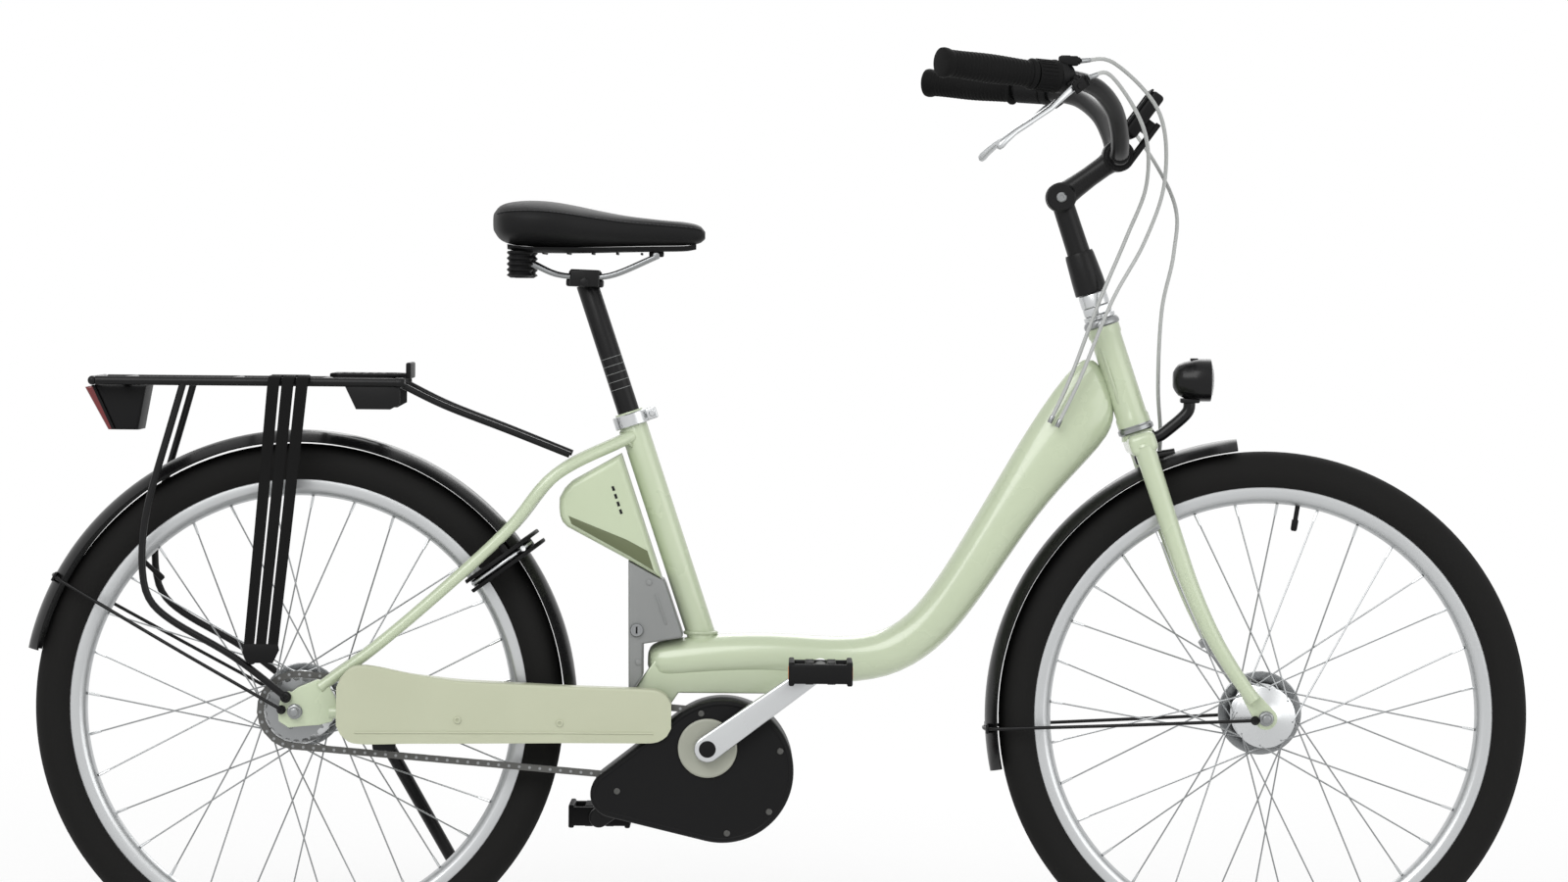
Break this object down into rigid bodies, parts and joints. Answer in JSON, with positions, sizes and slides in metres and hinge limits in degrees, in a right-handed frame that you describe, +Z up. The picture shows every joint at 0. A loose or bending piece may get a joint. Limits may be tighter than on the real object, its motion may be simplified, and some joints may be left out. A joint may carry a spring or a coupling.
{
  "type": "electric_bicycle",
  "caption": "Step-through electric bicycle with swept bars, mid motor, battery behind the seat tube, luggage rack, mudguards, ring lock and side stand.",
  "frame": {"origin": "centre of the bounding box's bottom, on the ground", "axes": "+X forward, +Y to the rider's left, +Z up"},
  "size_m": [1.8594, 0.6816, 1.1548],
  "materials": {
    "battery_case": "satin",
    "black_paint": "satin",
    "black_plastic": "matte",
    "frame_paint": "satin",
    "grey_plastic": "matte",
    "guard_plastic": "satin",
    "lens": "gloss",
    "motor_case": "satin",
    "red_lens": "gloss",
    "rubber": "matte",
    "saddle_cover": "matte",
    "silver": "satin",
    "steel": "satin",
    "tyre_rubber": "matte"
  },
  "bodies": {
    "frame": {"battery_dock": "grey_plastic", "chain": "steel", "chain_guard": "guard_plastic", "frame": "frame_paint", "gear_cable": "grey_plastic", "headset_upper_cup": "steel", "luggage_rack": "black_paint", "luggage_strap": "rubber", "motor_housing": "motor_case", "motor_side_cover": "black_plastic", "rear_axle": "steel", "rear_brake": "steel", "rear_brake_cable": "grey_plastic", "rear_light_housing": "black_plastic", "rear_light_lens": "red_lens", "rear_mudguard": "black_plastic", "ring_lock": "black_plastic", "seat_clamp": "silver", "stand_mount": "black_paint"},
    "rear_wheel": {"rear_hub_and_spokes": "silver", "rear_rim": "silver", "rear_tyre": "tyre_rubber"},
    "freewheel": {"rear_sprocket": "steel"},
    "steering": {"brake_bracket_left": "black_plastic", "brake_bracket_right": "black_plastic", "control_pad": "black_plastic", "display": "black_plastic", "fork": "frame_paint", "front_axle": "steel", "front_brake": "steel", "front_brake_cable": "grey_plastic", "front_mudguard": "black_plastic", "grip_left": "rubber", "grip_right": "rubber", "handlebar": "black_paint", "headlight_housing": "black_plastic", "headlight_lens": "lens", "headset_lock_nut": "silver", "stem": "black_paint"},
    "front_wheel": {"front_hub_and_spokes": "silver", "front_rim": "silver", "front_tyre": "tyre_rubber"},
    "crank": {"crank_axle_and_sprocket": "steel", "crank_left": "black_paint", "crank_right": "silver"},
    "pedal_right": {"pedal_right": "black_plastic"},
    "pedal_left": {"pedal_left": "black_plastic"},
    "seat": {"saddle": "saddle_cover", "saddle_base": "black_plastic", "saddle_rails": "steel", "seat_post": "black_paint"},
    "battery": {"battery": "battery_case"},
    "stand": {"stand_leg": "black_paint"},
    "lever_left": {"brake_lever_left": "silver"},
    "lever_right": {"brake_lever_right": "silver"},
    "shifter": {"shifter_twist_ring": "rubber"},
    "button": {"mode_button": "grey_plastic"},
    "battery_lock": {"battery_lock": "steel"},
    "rack_clamp": {"rack_clamp": "black_plastic"},
    "lock_bolt": {"lock_bolt": "steel"}
  },
  "joints": [
    {"name": "steering_turn", "type": "hinge", "parent": "frame", "child": "steering", "pos_m": [0.43892, -0.02267, 0.68664], "axis": [-0.3173, 0.0496, 0.947], "range_deg": [-45, 45], "deforming": ["rear_brake_cable", "gear_cable"]},
    {"name": "front_wheel_turn", "type": "hinge", "parent": "steering", "child": "front_wheel", "pos_m": [0.60124, -0.04146, 0.32808], "axis": [0, 0.9986, -0.0523], "continuous": true},
    {"name": "rear_wheel_turn", "type": "hinge", "parent": "frame", "child": "rear_wheel", "pos_m": [-0.59276, -0.04146, 0.32808], "axis": [0, 0.9986, -0.0523], "continuous": true},
    {"name": "crank_turn", "type": "hinge", "parent": "frame", "child": "crank", "pos_m": [-0.08576, -0.04363, 0.28664], "axis": [0, 0.9986, -0.0523], "continuous": true},
    {"name": "freewheel_turn", "type": "hinge", "parent": "frame", "child": "freewheel", "pos_m": [-0.59276, -0.04146, 0.32808], "axis": [0, 0.9986, -0.0523], "continuous": true},
    {"name": "pedal_right_turn", "type": "hinge", "parent": "crank", "child": "pedal_right", "pos_m": [0.05177, -0.11629, 0.39051], "axis": [0, 0.9986, -0.0523], "continuous": true},
    {"name": "pedal_left_turn", "type": "hinge", "parent": "crank", "child": "pedal_left", "pos_m": [-0.2233, 0.02903, 0.18277], "axis": [0, 0.9986, -0.0523], "continuous": true},
    {"name": "seat_height", "type": "slide", "parent": "frame", "child": "seat", "axis": [-0.3173, 0.0496, 0.947], "range_m": [-0.05, 0.05]},
    {"name": "battery_out", "type": "slide", "parent": "frame", "child": "battery", "axis": [0, 0.9986, -0.0523], "range_m": [0, 0.12]},
    {"name": "battery_lock_turn", "type": "hinge", "parent": "frame", "child": "battery_lock", "pos_m": [-0.17476, -0.0721, 0.43133], "axis": [0, 0.9986, -0.0523], "range_deg": [0, 90]},
    {"name": "stand_swing", "type": "hinge", "parent": "frame", "child": "stand", "pos_m": [-0.49526, 0.05503, 0.27747], "axis": [0.0116, 0.9578, 0.2872], "range_deg": [0, 112], "stiffness_Nm_per_rad": 1.5, "springref_deg": -34.38},
    {"name": "brake_lever_left_pull", "type": "hinge", "parent": "steering", "child": "lever_left", "pos_m": [0.34994, 0.25871, 1.08191], "axis": [0.4778, 0.8707, -0.1166], "range_deg": [0, 25], "stiffness_Nm_per_rad": 0.6, "springref_deg": -17.19},
    {"name": "brake_lever_right_pull", "type": "hinge", "parent": "steering", "child": "lever_right", "pos_m": [0.34994, -0.26118, 1.10915], "axis": [-0.4778, 0.8781, 0.0249], "range_deg": [0, 25], "stiffness_Nm_per_rad": 0.6, "springref_deg": -17.19},
    {"name": "shifter_twist", "type": "hinge", "parent": "steering", "child": "shifter", "pos_m": [0.33724, -0.24038, 1.11808], "axis": [-0.8463, -0.5249, 0.0911], "range_deg": [-40, 40]},
    {"name": "mode_button_press", "type": "slide", "parent": "steering", "child": "button", "axis": [0.148, 0.2989, -0.9427], "range_m": [0, 0.001], "stiffness_N_per_m": 300, "springref_m": -0.002},
    {"name": "rack_clamp_lift", "type": "hinge", "parent": "frame", "child": "rack_clamp", "pos_m": [-0.47476, -0.02029, 0.73203], "axis": [0, 0.9986, -0.0523], "range_deg": [0, 60], "stiffness_Nm_per_rad": 0.5, "springref_deg": -22.92},
    {"name": "ring_lock_bolt_turn", "type": "hinge", "parent": "frame", "child": "lock_bolt", "pos_m": [-0.34359, -0.03198, 0.50887], "axis": [-0.5878, 0.0423, 0.8079], "range_deg": [-86, 0]}
  ],
  "couplings": [
    {"joint": "freewheel_turn", "follows": "crank_turn", "ratio": 1}
  ]
}
